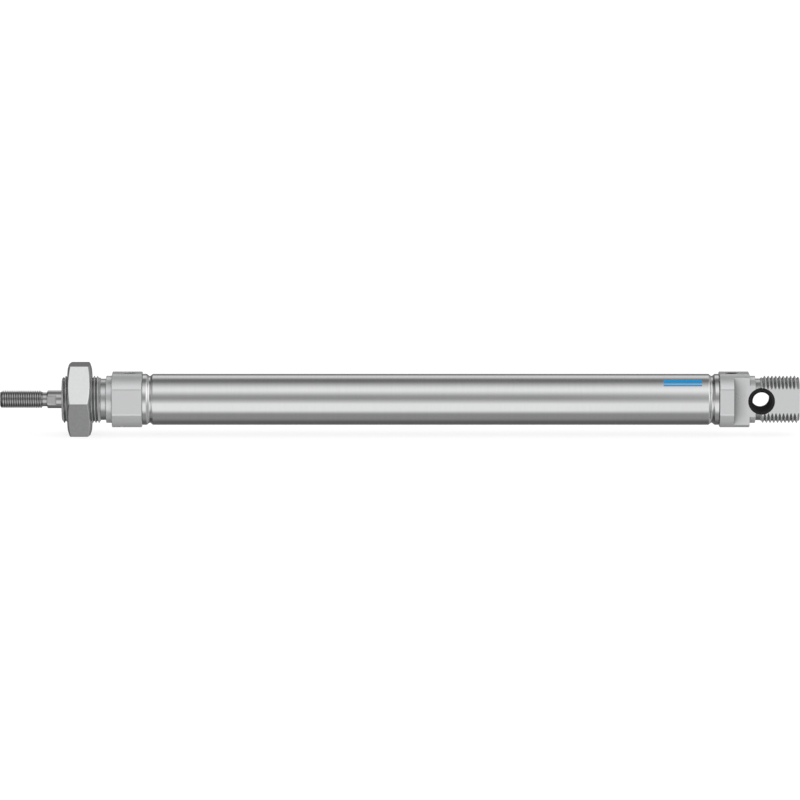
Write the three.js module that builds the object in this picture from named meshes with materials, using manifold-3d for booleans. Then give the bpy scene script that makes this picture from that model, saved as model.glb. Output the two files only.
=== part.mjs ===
// Double-acting round air cylinder to ISO 6432: 16 mm bore, 160 mm stroke, piston rod retracted.
// Millimetres, +Z up. The rod axis is X, with the rod end at -X, and the origin is the middle of
// the length. A station is a distance along the axis from the tip of the retracted rod.

import * as THREE from 'three';
import { mergeVertices } from 'three/addons/utils/BufferGeometryUtils.js';
import Module from 'manifold-3d';

const wasm = await Module();
wasm.setup();

// Driving dimensions, named as in the ISO 6432 table where it has a letter.
const BORE = 16;
const STROKE = 160;
const ROD_DIAMETER = 6; // MM
const ROD_THREAD_LENGTH = 16; // AM
const ROD_SHOULDER_TO_FRONT_FACE = 22; // WH
const ROD_SHOULDER_TO_REAR_FACE = 78 + STROKE; // ZJ
const ROD_SHOULDER_TO_EYE = 82 + STROKE; // XC
const NOSE_LENGTH = 17; // BF, front and rear
const NOSE_DIAMETER = 16; // AF thread and centring collar
const COLLAR_LENGTH = 2; // VD
const CAP_BODY_LENGTH = 10.2; // G
const CAP_WIDTH = 18; // across the body's four flats
const CAP_DIAMETER = 20; // of the round bar that the flats are milled on
const PORT_INSET = 6; // PL, port axis from the mounting face
const EYE_WIDTH = 12; // EW
const EYE_BORE = 6; // CD
const BARREL_DIAMETER = 17.3;
const NUT_WIDTH = 24;
const NUT_THICKNESS = 8;
const NUT_OFFSET = 2; // nose face to nut
const NUT_CHAMFER = (18 * Math.PI) / 180;

// Stations along the axis.
const ROD_SHOULDER = ROD_THREAD_LENGTH;
const FRONT_FACE = ROD_SHOULDER + ROD_SHOULDER_TO_FRONT_FACE;
const NOSE_FACE = FRONT_FACE - NOSE_LENGTH;
const REAR_FACE = ROD_SHOULDER + ROD_SHOULDER_TO_REAR_FACE;
const TOTAL_LENGTH = REAR_FACE + NOSE_LENGTH;
const EYE = ROD_SHOULDER + ROD_SHOULDER_TO_EYE;
const FRONT_BODY_END = FRONT_FACE + CAP_BODY_LENGTH;
const REAR_BODY_START = REAR_FACE - CAP_BODY_LENGTH;
const BARREL_GAP = 0.1;
const BARREL_START = FRONT_BODY_END + BARREL_GAP;
const BARREL_END = REAR_BODY_START - BARREL_GAP;

// Fits and the insides of the caps.
const SEGMENTS = 32; // sides of every round piece, all in phase
const FIT = 0.05; // radial gap between pieces that are pressed or sealed together
const RUNNING_FIT = 0.06; // radial gap between the rod and what it slides in
const SPIGOT_LENGTH = 8.3;
const BUMPER_SEAT_DEPTH = 1;
const BUMPER_PROUD = 1;
const END_CLEARANCE = 0.2; // piston to bumper at each end of the stroke
const CAP_BORE = 4.6; // radius of the air space around the rod
const ROD_RADIUS = ROD_DIAMETER / 2;
const BORE_RADIUS = BORE / 2;
const NOSE_RADIUS = NOSE_DIAMETER / 2;
const SPIGOT_RADIUS = BORE_RADIUS - FIT;

const FRONT_SPIGOT_END = FRONT_BODY_END + SPIGOT_LENGTH;
const REAR_SPIGOT_END = REAR_BODY_START - SPIGOT_LENGTH;
const PISTON_REAR = REAR_SPIGOT_END - BUMPER_PROUD - END_CLEARANCE;
const PISTON_FRONT = FRONT_SPIGOT_END + BUMPER_PROUD + END_CLEARANCE + STROKE;

// Radii and stations inside the caps and the piston.
const UNDERCUT_RADIUS = NOSE_RADIUS - 1;
const WIPER_SEAT_RADIUS = 5;
const WIPER_SEAT_END = NOSE_FACE + 3.5;
const ROD_HOLE_RADIUS = 3.4;
const SEAL_GROOVE_RADIUS = 5.2;
const SEAL_GROOVE_START = NOSE_FACE + 4.5;
const SEAL_GROOVE_END = NOSE_FACE + 8.5;
const BUSH_START = NOSE_FACE + 9.5;
const BUSH_LENGTH = 10.8;
const BUMPER_SEAT_RADIUS = 6.6;
const ROLL_DEPTH_ALONG = 5.75; // from a spigot's end to the middle of the rolled groove
const EYE_BUSH_RADIUS = 4.5;
const EYE_WALL = REAR_FACE - 5.4; // where the eye's milled flats start in the rear body
const EYE_FILLET = 0.4;
const WRENCH_FLAT_LENGTH = 3.1;
const WRENCH_FLAT_WIDTH = 5;
const PISTON_RADIUS = BORE_RADIUS - 0.2;
const PISTON_GROOVE_RADIUS = 5.6;
const PISTON_STUD_RADIUS = 2;
const PISTON_DISC_LENGTH = 5.7;
const HUB_RADIUS = 3.2;
const MAGNET_RADIUS = 6.6;

// Geometry helpers.

function toSolid(geometry) {
  geometry.deleteAttribute('normal');
  geometry.deleteAttribute('uv');
  const merged = mergeVertices(geometry, 1e-5);
  const corners = merged.index.array;
  const kept = [];
  for (let i = 0; i < corners.length; i += 3) {
    const [a, b, c] = corners.slice(i, i + 3);
    if (a !== b && b !== c && c !== a) kept.push(a, b, c);
  }
  const mesh = new wasm.Mesh({
    numProp: 3,
    vertProperties: merged.attributes.position.array,
    triVerts: new Uint32Array(kept),
  });
  return new wasm.Manifold(mesh);
}

function toGeometry(solid) {
  const mesh = solid.getMesh();
  const geometry = new THREE.BufferGeometry();
  geometry.setAttribute('position', new THREE.BufferAttribute(mesh.vertProperties, 3));
  geometry.setIndex(new THREE.BufferAttribute(mesh.triVerts, 1));
  geometry.computeVertexNormals();
  return geometry;
}

// Turns [station, radius] points about the axis: outside from front to rear, then back inside.
function revolve(points) {
  const outline = points.map(([station, radius]) => new THREE.Vector2(radius, station));
  if (points[0][1] > 0) outline.push(outline[0].clone());
  const geometry = new THREE.LatheGeometry(outline, SEGMENTS);
  geometry.rotateZ(-Math.PI / 2);
  geometry.translate(-TOTAL_LENGTH / 2, 0, 0);
  return toSolid(geometry);
}

// Turns [height, radius] points about a vertical line through a station, from the bottom up.
function revolveUpright(points, station) {
  const outline = points.map(([height, radius]) => new THREE.Vector2(radius, height));
  const geometry = new THREE.LatheGeometry(outline, SEGMENTS);
  geometry.rotateX(Math.PI / 2);
  geometry.translate(station - TOTAL_LENGTH / 2, 0, 0);
  return toSolid(geometry);
}

function pinAcross(station, radius, halfLength) {
  const geometry = new THREE.CylinderGeometry(radius, radius, 2 * halfLength, SEGMENTS);
  geometry.translate(station - TOTAL_LENGTH / 2, 0, 0);
  return toSolid(geometry);
}

// A prism along the axis from a polygon of [y, z] corners.
function prism(corners, start, end) {
  const shape = new THREE.Shape(corners.map(([y, z]) => new THREE.Vector2(-z, y)));
  const geometry = new THREE.ExtrudeGeometry(shape, { depth: end - start, bevelEnabled: false });
  geometry.rotateY(Math.PI / 2);
  geometry.translate(start - TOTAL_LENGTH / 2, 0, 0);
  return toSolid(geometry);
}

function hexagon(acrossFlats) {
  const radius = acrossFlats / Math.sqrt(3);
  return [0, 1, 2, 3, 4, 5].map((corner) => {
    const angle = (corner * Math.PI) / 3;
    return [radius * Math.cos(angle), radius * Math.sin(angle)];
  });
}

function ring(start, end, inner, outer) {
  return revolve([
    [start, outer],
    [end, outer],
    [end, inner],
    [start, inner],
  ]);
}

// A ring of oval section, such as a squeezed O-ring.
function oRing(station, radius, halfWidth, halfHeight) {
  const corners = 8;
  const points = [];
  for (let i = 0; i < corners; i += 1) {
    const angle = (-2 * Math.PI * i) / corners;
    points.push([station + halfWidth * Math.cos(angle), radius + halfHeight * Math.sin(angle)]);
  }
  return revolve(points);
}

// A grooved lip seal between two radii. It opens towards `opening`, and its back is at `back`.
function lipSeal(opening, back, inner, outer) {
  const direction = Math.sign(back - opening);
  const middle = (inner + outer) / 2;
  const lip = (outer - inner) / 4;
  const points = [
    [opening, outer],
    [back, outer - FIT],
    [back, inner + FIT],
    [opening, inner],
    [opening + 0.2 * direction, inner + lip],
    [opening + 1.1 * direction, middle],
    [opening + 0.2 * direction, outer - lip],
  ];
  return revolve(direction > 0 ? points : points.reverse());
}

// The spigot that each cap pushes into the barrel, from its end towards the cap's body.
function spigotOutline(end, direction) {
  const outline = [
    [0, SPIGOT_RADIUS - 0.45],
    [0.4, SPIGOT_RADIUS],
    [1.5, SPIGOT_RADIUS],
    [1.5, 7.05],
    [3.3, 7.05],
    [3.3, SPIGOT_RADIUS],
    [4.7, SPIGOT_RADIUS],
    [5.45, 7.3],
    [6.05, 7.3],
    [6.8, SPIGOT_RADIUS],
  ];
  return outline.map(([depth, radius]) => [end + direction * depth, radius]);
}

// A cap's body: round bar with four flats, one of them on top for the port.
function capBody(start) {
  const bar = ring(start, start + CAP_BODY_LENGTH, 0, CAP_DIAMETER / 2);
  const flats = new THREE.BoxGeometry(CAP_BODY_LENGTH + 2, CAP_WIDTH, CAP_WIDTH);
  flats.translate(start + CAP_BODY_LENGTH / 2 - TOTAL_LENGTH / 2, 0, 0);
  return bar.intersect(toSolid(flats));
}

// M5 port: a drilled hole with a countersunk mouth, from the air space up through the top face.
function portCutter(station) {
  const top = CAP_WIDTH / 2;
  const drill = 2.1;
  const outline = [
    [CAP_BORE - 1, 0],
    [CAP_BORE - 1, drill],
    [top - 0.5, drill],
    [top + 0.5, drill + 1],
    [top + 0.5, 0],
  ];
  return revolveUpright(outline, station);
}

// The pieces.

function frontCap() {
  const outside = revolve([
    [NOSE_FACE, 0],
    [NOSE_FACE, NOSE_RADIUS - 1.1],
    [NOSE_FACE + 1.1, NOSE_RADIUS],
    [FRONT_FACE - 4, NOSE_RADIUS],
    [FRONT_FACE - 3.1, UNDERCUT_RADIUS],
    [FRONT_FACE - COLLAR_LENGTH, UNDERCUT_RADIUS],
    [FRONT_FACE - COLLAR_LENGTH, NOSE_RADIUS],
    [FRONT_FACE + 1, NOSE_RADIUS],
    ...spigotOutline(FRONT_SPIGOT_END, -1).reverse(),
    [FRONT_SPIGOT_END, 0],
  ]);
  const inside = revolve([
    [NOSE_FACE - 1, 0],
    [NOSE_FACE - 1, WIPER_SEAT_RADIUS],
    [WIPER_SEAT_END, WIPER_SEAT_RADIUS],
    [WIPER_SEAT_END, ROD_HOLE_RADIUS],
    [SEAL_GROOVE_START, ROD_HOLE_RADIUS],
    [SEAL_GROOVE_START, SEAL_GROOVE_RADIUS],
    [SEAL_GROOVE_END, SEAL_GROOVE_RADIUS],
    [SEAL_GROOVE_END, ROD_HOLE_RADIUS],
    [BUSH_START, ROD_HOLE_RADIUS],
    [BUSH_START, CAP_BORE],
    [FRONT_SPIGOT_END - BUMPER_SEAT_DEPTH, CAP_BORE],
    [FRONT_SPIGOT_END - BUMPER_SEAT_DEPTH, BUMPER_SEAT_RADIUS],
    [FRONT_SPIGOT_END + 1, BUMPER_SEAT_RADIUS],
    [FRONT_SPIGOT_END + 1, 0],
  ]);
  return outside
    .add(capBody(FRONT_FACE))
    .subtract(inside)
    .subtract(portCutter(FRONT_FACE + PORT_INSET));
}

// The rear cap's turned outside, before the eye is milled. `shrink` insets it evenly.
function rearCapOutside(shrink) {
  return revolve([
    [REAR_SPIGOT_END, 0],
    ...spigotOutline(REAR_SPIGOT_END, 1),
    [REAR_FACE - 1, NOSE_RADIUS - shrink],
    [REAR_FACE + COLLAR_LENGTH, NOSE_RADIUS - shrink],
    [REAR_FACE + COLLAR_LENGTH, UNDERCUT_RADIUS - shrink],
    [REAR_FACE + 3.9, UNDERCUT_RADIUS - shrink],
    [REAR_FACE + 4.8, NOSE_RADIUS - shrink],
    [TOTAL_LENGTH - 0.7, NOSE_RADIUS - shrink],
    [TOTAL_LENGTH, NOSE_RADIUS - 0.8],
    [TOTAL_LENGTH, 0],
  ]);
}

// What the mill takes from one side of the eye: side is 1 or -1 in Y.
function eyeCutter(side) {
  const outer = CAP_WIDTH;
  const flat = EYE_WIDTH / 2;
  const outline = new THREE.Shape();
  const filletCentre = [EYE_WALL + EYE_FILLET, flat + EYE_FILLET];
  outline.moveTo(EYE_WALL, outer);
  outline.lineTo(EYE_WALL, flat + EYE_FILLET);
  outline.absarc(...filletCentre, EYE_FILLET, Math.PI, 1.5 * Math.PI, false);
  outline.lineTo(TOTAL_LENGTH + 1, flat);
  outline.lineTo(TOTAL_LENGTH + 1, outer);
  const height = 2 * outer;
  const geometry = new THREE.ExtrudeGeometry(outline, {
    depth: height,
    bevelEnabled: false,
    curveSegments: 4,
  });
  geometry.translate(-TOTAL_LENGTH / 2, 0, -height / 2);
  if (side < 0) geometry.rotateX(Math.PI);
  return toSolid(geometry);
}

function rearCap() {
  const inside = revolve([
    [REAR_SPIGOT_END - 1, 0],
    [REAR_SPIGOT_END - 1, BUMPER_SEAT_RADIUS],
    [REAR_SPIGOT_END + BUMPER_SEAT_DEPTH, BUMPER_SEAT_RADIUS],
    [REAR_SPIGOT_END + BUMPER_SEAT_DEPTH, CAP_BORE],
    [REAR_FACE - 3.5, CAP_BORE],
    [REAR_FACE - 3.5, 0],
  ]);
  return rearCapOutside(0)
    .add(capBody(REAR_BODY_START))
    .subtract(eyeCutter(1))
    .subtract(eyeCutter(-1))
    .subtract(inside)
    .subtract(pinAcross(EYE, EYE_BUSH_RADIUS + FIT, CAP_WIDTH))
    .subtract(portCutter(REAR_FACE - PORT_INSET));
}

// The plain bush pressed through the eye, trimmed where the undercut runs into it.
function eyeBush() {
  return pinAcross(EYE, EYE_BUSH_RADIUS, EYE_WIDTH / 2)
    .subtract(pinAcross(EYE, EYE_BORE / 2, CAP_WIDTH))
    .intersect(rearCapOutside(FIT));
}

// One rolled groove on the barrel's outer or inner wall, as seen across it.
function rolledGroove(middle, radius, depth, halfWidth) {
  return [
    [middle - halfWidth, radius],
    [middle - 0.25, radius - depth],
    [middle + 0.25, radius - depth],
    [middle + halfWidth, radius],
  ];
}

function barrel() {
  const outer = BARREL_DIAMETER / 2;
  const front = FRONT_SPIGOT_END - ROLL_DEPTH_ALONG;
  const rear = REAR_SPIGOT_END + ROLL_DEPTH_ALONG;
  const outside = [
    ...rolledGroove(front, outer, 0.6, 1.1),
    ...rolledGroove(rear, outer, 0.6, 1.1),
  ];
  const inside = [
    ...rolledGroove(front, BORE_RADIUS, 0.45, 0.9),
    ...rolledGroove(rear, BORE_RADIUS, 0.45, 0.9),
  ];
  return revolve([
    [BARREL_START, outer],
    ...outside,
    [BARREL_END, outer],
    [BARREL_END, BORE_RADIUS],
    ...inside.reverse(),
    [BARREL_START, BORE_RADIUS],
  ]);
}

function rodBearingBush() {
  const chamfer = 0.4;
  const inner = ROD_RADIUS + RUNNING_FIT;
  const outer = CAP_BORE - FIT;
  const start = BUSH_START + 0.1;
  const end = start + BUSH_LENGTH;
  return revolve([
    [start, outer - chamfer],
    [start + chamfer, outer],
    [end - chamfer, outer],
    [end, outer - chamfer],
    [end, inner + chamfer],
    [end - chamfer, inner],
    [start + chamfer, inner],
    [start, inner + chamfer],
  ]);
}

// A collar with a sharp lip that leans forward along the rod.
function rodWiper() {
  const inner = ROD_RADIUS + RUNNING_FIT;
  const outer = WIPER_SEAT_RADIUS - FIT;
  const front = NOSE_FACE + 0.3;
  const back = WIPER_SEAT_END - 0.1;
  return revolve([
    [front, inner + 0.25],
    [front + 0.9, inner + 0.9],
    [front + 0.9, outer],
    [back, outer],
    [back, inner + 0.5],
    [front + 1.6, inner + 0.4],
    [front + 0.3, inner],
  ]);
}

function mountingNut() {
  const start = NOSE_FACE + NUT_OFFSET;
  const end = start + NUT_THICKNESS;
  const faceRadius = NUT_WIDTH / 2 - 1.6;
  const reach = 4; // how far past the face radius the chamfer is drawn
  const drop = reach * Math.tan(NUT_CHAMFER);
  const bore = NOSE_RADIUS + 0.15;
  const chamfers = revolve([
    [start, 0],
    [start, faceRadius],
    [start + drop, faceRadius + reach],
    [end - drop, faceRadius + reach],
    [end, faceRadius],
    [end, 0],
  ]);
  const threadHole = revolve([
    [start - 1, 0],
    [start - 1, bore + 0.5],
    [start, bore + 0.5],
    [start + 0.5, bore],
    [end - 0.5, bore],
    [end, bore + 0.5],
    [end + 1, bore + 0.5],
    [end + 1, 0],
  ]);
  return prism(hexagon(NUT_WIDTH), start, end).intersect(chamfers).subtract(threadHole);
}

function pistonRod() {
  const turned = revolve([
    [0, 0],
    [0, ROD_RADIUS - 0.7],
    [0.7, ROD_RADIUS],
    [ROD_SHOULDER - 2.1, ROD_RADIUS],
    [ROD_SHOULDER - 1.6, 2.35],
    [ROD_SHOULDER, 2.35],
    [ROD_SHOULDER, ROD_RADIUS],
    [PISTON_FRONT, ROD_RADIUS],
    [PISTON_FRONT, PISTON_STUD_RADIUS],
    [PISTON_REAR + 4.3, PISTON_STUD_RADIUS],
    [PISTON_REAR + 4.7, PISTON_STUD_RADIUS - 0.4],
    [PISTON_REAR + 4.7, 0],
  ]);
  const flats = new THREE.BoxGeometry(WRENCH_FLAT_LENGTH, 2, 10);
  const flatOffset = WRENCH_FLAT_WIDTH / 2 + 1;
  const middle = ROD_SHOULDER + WRENCH_FLAT_LENGTH / 2 - TOTAL_LENGTH / 2;
  return [-1, 1].reduce((rod, side) => {
    const cutter = flats.clone().translate(middle, side * flatOffset, 0);
    return rod.subtract(toSolid(cutter));
  }, turned);
}

function pistonFrontDisc() {
  const start = PISTON_FRONT;
  return revolve([
    [start, PISTON_RADIUS - 0.4],
    [start + 0.4, PISTON_RADIUS],
    [start + 1.5, PISTON_RADIUS],
    [start + 1.5, PISTON_GROOVE_RADIUS],
    [start + 4.3, PISTON_GROOVE_RADIUS],
    [start + 4.3, PISTON_RADIUS],
    [start + PISTON_DISC_LENGTH, PISTON_RADIUS],
    [start + PISTON_DISC_LENGTH, PISTON_STUD_RADIUS + FIT],
    [start + 3.9, PISTON_STUD_RADIUS + FIT],
    [start + 3.9, 3.2],
    [start + 2.3, 3.2],
    [start + 2.3, PISTON_STUD_RADIUS + FIT],
    [start, PISTON_STUD_RADIUS + FIT],
  ]);
}

// The rear disc carries a hub that spaces it from the front one, through the magnet.
function pistonRearDisc() {
  const end = PISTON_REAR;
  return revolve([
    [PISTON_FRONT + PISTON_DISC_LENGTH + 0.05, HUB_RADIUS],
    [end - PISTON_DISC_LENGTH, HUB_RADIUS],
    [end - PISTON_DISC_LENGTH, PISTON_RADIUS],
    [end - 4.3, PISTON_RADIUS],
    [end - 4.3, PISTON_GROOVE_RADIUS],
    [end - 1.5, PISTON_GROOVE_RADIUS],
    [end - 1.5, PISTON_RADIUS],
    [end - 0.4, PISTON_RADIUS],
    [end, PISTON_RADIUS - 0.4],
    [end, PISTON_STUD_RADIUS + FIT],
    [PISTON_FRONT + PISTON_DISC_LENGTH + 0.05, PISTON_STUD_RADIUS + FIT],
  ]);
}

// The guide ring is a split band that springs open against the bore.
function guideRing() {
  const start = PISTON_FRONT + PISTON_DISC_LENGTH + 0.15;
  const end = PISTON_REAR - PISTON_DISC_LENGTH - 0.15;
  const split = new THREE.BoxGeometry(end - start + 2, 0.5, 4);
  split.translate((start + end) / 2 - TOTAL_LENGTH / 2, 0, BORE_RADIUS);
  return ring(start, end, MAGNET_RADIUS + 0.15, SPIGOT_RADIUS).subtract(toSolid(split));
}

function magnetRing() {
  const start = PISTON_FRONT + PISTON_DISC_LENGTH + 0.1;
  const end = PISTON_REAR - PISTON_DISC_LENGTH - 0.1;
  return ring(start, end, HUB_RADIUS + 0.1, MAGNET_RADIUS);
}

function pistonLockNut() {
  const start = PISTON_REAR + 0.05;
  const end = start + 3.2;
  const hole = ring(start - 1, end + 1, 0, PISTON_STUD_RADIUS + FIT);
  return prism(hexagon(7), start, end).subtract(hole);
}

// Finishes.
const finish = {
  anodised: new THREE.MeshStandardMaterial({ color: 0xb9bbbd, roughness: 0.45, metalness: 0.9 }),
  stainless: new THREE.MeshStandardMaterial({ color: 0xc4c5c6, roughness: 0.25, metalness: 1 }),
  rodSteel: new THREE.MeshStandardMaterial({ color: 0xb0b1b3, roughness: 0.2, metalness: 1 }),
  nutSteel: new THREE.MeshStandardMaterial({ color: 0xb4b5b8, roughness: 0.3, metalness: 1 }),
  blackPlastic: new THREE.MeshStandardMaterial({ color: 0x1c1c1e, roughness: 0.5, metalness: 0 }),
  rubber: new THREE.MeshStandardMaterial({ color: 0x1a1a1a, roughness: 0.8, metalness: 0 }),
  polyurethane: new THREE.MeshStandardMaterial({ color: 0x2f4f45, roughness: 0.6, metalness: 0 }),
  bronze: new THREE.MeshStandardMaterial({ color: 0xa9793f, roughness: 0.5, metalness: 0.8 }),
  magnet: new THREE.MeshStandardMaterial({ color: 0x3a3a3c, roughness: 0.6, metalness: 0.4 }),
};

const sealInner = ROD_RADIUS + RUNNING_FIT;
const pistonSealInner = PISTON_GROOVE_RADIUS + 0.08;
const bumperInner = CAP_BORE + 0.05;
const bumperOuter = BUMPER_SEAT_RADIUS - 0.1;
const bumperLength = BUMPER_SEAT_DEPTH + BUMPER_PROUD - 0.05;
const barrelSealDepth = 2.4; // from a spigot's end to the middle of its O-ring groove

const pieces = [
  ['front_cap', frontCap(), finish.anodised],
  ['rear_cap', rearCap(), finish.anodised],
  ['barrel', barrel(), finish.stainless],
  ['front_barrel_seal', oRing(FRONT_SPIGOT_END - barrelSealDepth, 7.5, 0.6, 0.42), finish.rubber],
  ['rear_barrel_seal', oRing(REAR_SPIGOT_END + barrelSealDepth, 7.5, 0.6, 0.42), finish.rubber],
  ['rod_bearing_bush', rodBearingBush(), finish.bronze],
  [
    'rod_seal',
    lipSeal(SEAL_GROOVE_END - 0.1, SEAL_GROOVE_START + 0.1, sealInner, SEAL_GROOVE_RADIUS - FIT),
    finish.polyurethane,
  ],
  ['rod_wiper', rodWiper(), finish.rubber],
  [
    'front_bumper',
    ring(FRONT_SPIGOT_END + BUMPER_PROUD - bumperLength, FRONT_SPIGOT_END + BUMPER_PROUD,
      bumperInner, bumperOuter),
    finish.polyurethane,
  ],
  [
    'rear_bumper',
    ring(REAR_SPIGOT_END - BUMPER_PROUD, REAR_SPIGOT_END - BUMPER_PROUD + bumperLength,
      bumperInner, bumperOuter),
    finish.polyurethane,
  ],
  ['eye_bush', eyeBush(), finish.blackPlastic],
  ['mounting_nut', mountingNut(), finish.nutSteel],
  ['piston_rod', pistonRod(), finish.rodSteel],
  ['piston_front_disc', pistonFrontDisc(), finish.anodised],
  ['piston_rear_disc', pistonRearDisc(), finish.anodised],
  ['magnet_ring', magnetRing(), finish.magnet],
  ['guide_ring', guideRing(), finish.blackPlastic],
  [
    'front_piston_seal',
    lipSeal(PISTON_FRONT + 1.6, PISTON_FRONT + 4.2, pistonSealInner, SPIGOT_RADIUS),
    finish.polyurethane,
  ],
  [
    'rear_piston_seal',
    lipSeal(PISTON_REAR - 1.6, PISTON_REAR - 4.2, pistonSealInner, SPIGOT_RADIUS),
    finish.polyurethane,
  ],
  ['piston_o_ring', oRing(PISTON_FRONT + 3.1, 2.62, 0.6, 0.48), finish.rubber],
  ['piston_lock_nut', pistonLockNut(), finish.nutSteel],
];

const cylinder = new THREE.Group();
for (const [name, solid, material] of pieces) {
  const mesh = new THREE.Mesh(toGeometry(solid), material);
  mesh.name = name;
  cylinder.add(mesh);
}

export default cylinder;
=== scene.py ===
"""Looks of a slim round pneumatic cylinder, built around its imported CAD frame.

The frame is in metres with the rod axis on X and the rod end at -X. The outlines below are in
millimetres, as [station, radius]: a station is a distance along the axis from the rod's tip.
"""

import math

import bmesh
import bpy
import numpy as np
from mathutils import Matrix, Vector


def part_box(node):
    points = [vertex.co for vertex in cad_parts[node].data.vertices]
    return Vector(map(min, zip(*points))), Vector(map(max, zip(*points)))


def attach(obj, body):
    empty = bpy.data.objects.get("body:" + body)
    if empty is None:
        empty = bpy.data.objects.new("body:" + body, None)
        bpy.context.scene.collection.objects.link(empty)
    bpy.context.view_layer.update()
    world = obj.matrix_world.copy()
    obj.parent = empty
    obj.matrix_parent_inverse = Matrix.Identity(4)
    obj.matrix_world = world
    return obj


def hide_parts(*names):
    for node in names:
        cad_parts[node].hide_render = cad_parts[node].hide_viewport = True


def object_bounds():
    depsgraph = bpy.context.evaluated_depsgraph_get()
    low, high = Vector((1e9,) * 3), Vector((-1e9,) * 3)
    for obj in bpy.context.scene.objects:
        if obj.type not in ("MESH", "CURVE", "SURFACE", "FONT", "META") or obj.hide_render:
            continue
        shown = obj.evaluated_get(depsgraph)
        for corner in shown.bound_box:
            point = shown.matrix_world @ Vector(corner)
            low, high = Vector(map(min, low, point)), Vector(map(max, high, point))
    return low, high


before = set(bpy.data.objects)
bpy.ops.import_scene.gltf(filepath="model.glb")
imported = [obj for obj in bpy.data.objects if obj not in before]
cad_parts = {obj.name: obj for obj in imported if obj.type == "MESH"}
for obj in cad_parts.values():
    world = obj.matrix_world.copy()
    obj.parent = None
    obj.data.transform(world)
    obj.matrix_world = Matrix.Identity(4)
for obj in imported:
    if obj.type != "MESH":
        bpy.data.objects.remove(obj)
cad_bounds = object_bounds()

MM = 0.001
MICRON = 0.000001
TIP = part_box("piston_rod")[0].x


def station(node, end):
    """The station, in mm, of a CAD node's front (0) or rear (1) end."""
    return (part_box(node)[end].x - TIP) / MM


def radius_of(node):
    """A CAD node's greatest half height, in mm."""
    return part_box(node)[1].z / MM


# Stations and radii that the frame gives.
NOSE_FACE = station("front_cap", 0)
FRONT_SPIGOT_END = station("front_cap", 1)
BARREL_START = station("barrel", 0)
BARREL_END = station("barrel", 1)
REAR_SPIGOT_END = station("rear_cap", 0)
REAR_END = station("rear_cap", 1)
NUT_START = station("mounting_nut", 0)
NUT_END = station("mounting_nut", 1)
PISTON_FRONT = station("piston_front_disc", 0)
PISTON_REAR = station("piston_rear_disc", 1)
STUD_END = station("piston_rod", 1)
EYE = (station("eye_bush", 0) + station("eye_bush", 1)) / 2
EYE_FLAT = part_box("eye_bush")[1].y / MM
CAP_HALF = radius_of("front_cap")
BARREL_RADIUS = radius_of("barrel")
ROD_RADIUS = radius_of("piston_rod")
BUSH_RADIUS = radius_of("eye_bush")
NUT_FLAT = radius_of("mounting_nut")

# Inner radii of the rings, in mm.
INNER_RADII = {
    "rod_bearing_bush": 3.06,
    "rod_seal": 3.06,
    "rod_wiper": 3.06,
    "front_bumper": 4.65,
    "rear_bumper": 4.65,
    "magnet_ring": 3.3,
    "guide_ring": 6.75,
    "front_piston_seal": 5.68,
    "rear_piston_seal": 5.68,
    "piston_o_ring": 2.14,
    "front_barrel_seal": 7.08,
    "rear_barrel_seal": 7.08,
}

# Lengths along the axis, in mm.
NOSE_LENGTH = 17
NOSE_CHAMFER_LENGTH = 0.6
COLLAR_LENGTH = 2
FRONT_UNDERCUT_LENGTH = 1.8
REAR_UNDERCUT_LENGTH = 1.7
CAP_BODY_LENGTH = 10.2
PORT_INSET = 6
EYE_WALL_INSET = 5.4
ROLL_INSET = 2.45
ROD_THREAD_LENGTH = 16
ROD_RELIEF_LENGTH = 1.6
WRENCH_FLAT_LENGTH = 3.1
BUMPER_SEAT_LENGTH = 1
DISC_LENGTH = 5.7

# Radii and distances from the axis, in mm.
NOSE_RADIUS = 8
NOSE_FACE_RADIUS = NOSE_RADIUS - 1.05
EYE_END_RADIUS = NOSE_RADIUS - 0.8
FRONT_UNDERCUT_RADIUS = 7
REAR_UNDERCUT_RADIUS = 7.07
CAP_BAR_RADIUS = 10
CAP_BORE = 4.6
BORE_RADIUS = 8
SPIGOT_RADIUS = BORE_RADIUS - 0.05
BARREL_SEAL_GROOVE = 7.05
ROLL_SEAT = 7.3
BUMPER_SEAT = 6.6
ROD_SEAL_SEAT = 5.2
WIPER_SEAT = 5
ROD_HOLE = 3.4
WRENCH_FLAT = 2.5
ROD_RELIEF = 2.35
STUD_RADIUS = 2
STUD_HOLE = 2.05
STUD_SEAL_GROOVE = 3.2
MAGNET_HUB = 3.2
PISTON_SEAL_GROOVE = 5.6
PORT_THREAD_RADIUS = 2.5
EYE_BUSH_BORE = 3

# The barrel's rolled grooves: depth and half width, in mm.
ROLL_OUTSIDE = (0.7, 1.2)
ROLL_INSIDE = (0.42, 0.85)

# Thread pitches, in mm.
ROD_PITCH = 0.78
FRONT_NOSE_PITCH = 1.07
REAR_NOSE_PITCH = 1.27
PORT_PITCH = 0.8

FRONT_FACE = NOSE_FACE + NOSE_LENGTH
FRONT_COLLAR = FRONT_FACE - COLLAR_LENGTH
FRONT_THREAD_END = FRONT_COLLAR - FRONT_UNDERCUT_LENGTH
FRONT_BODY_END = FRONT_FACE + CAP_BODY_LENGTH
REAR_FACE = REAR_END - NOSE_LENGTH
REAR_COLLAR = REAR_FACE + COLLAR_LENGTH
REAR_THREAD_START = REAR_COLLAR + REAR_UNDERCUT_LENGTH
REAR_BODY_START = REAR_FACE - CAP_BODY_LENGTH

# ---------------------------------------------------------------- turned meshes

THREAD_DEPTH = 0.6134  # of the pitch, on one side
SHARP_ANGLE = math.radians(33)
WELD = 0.0015  # mm


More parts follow.
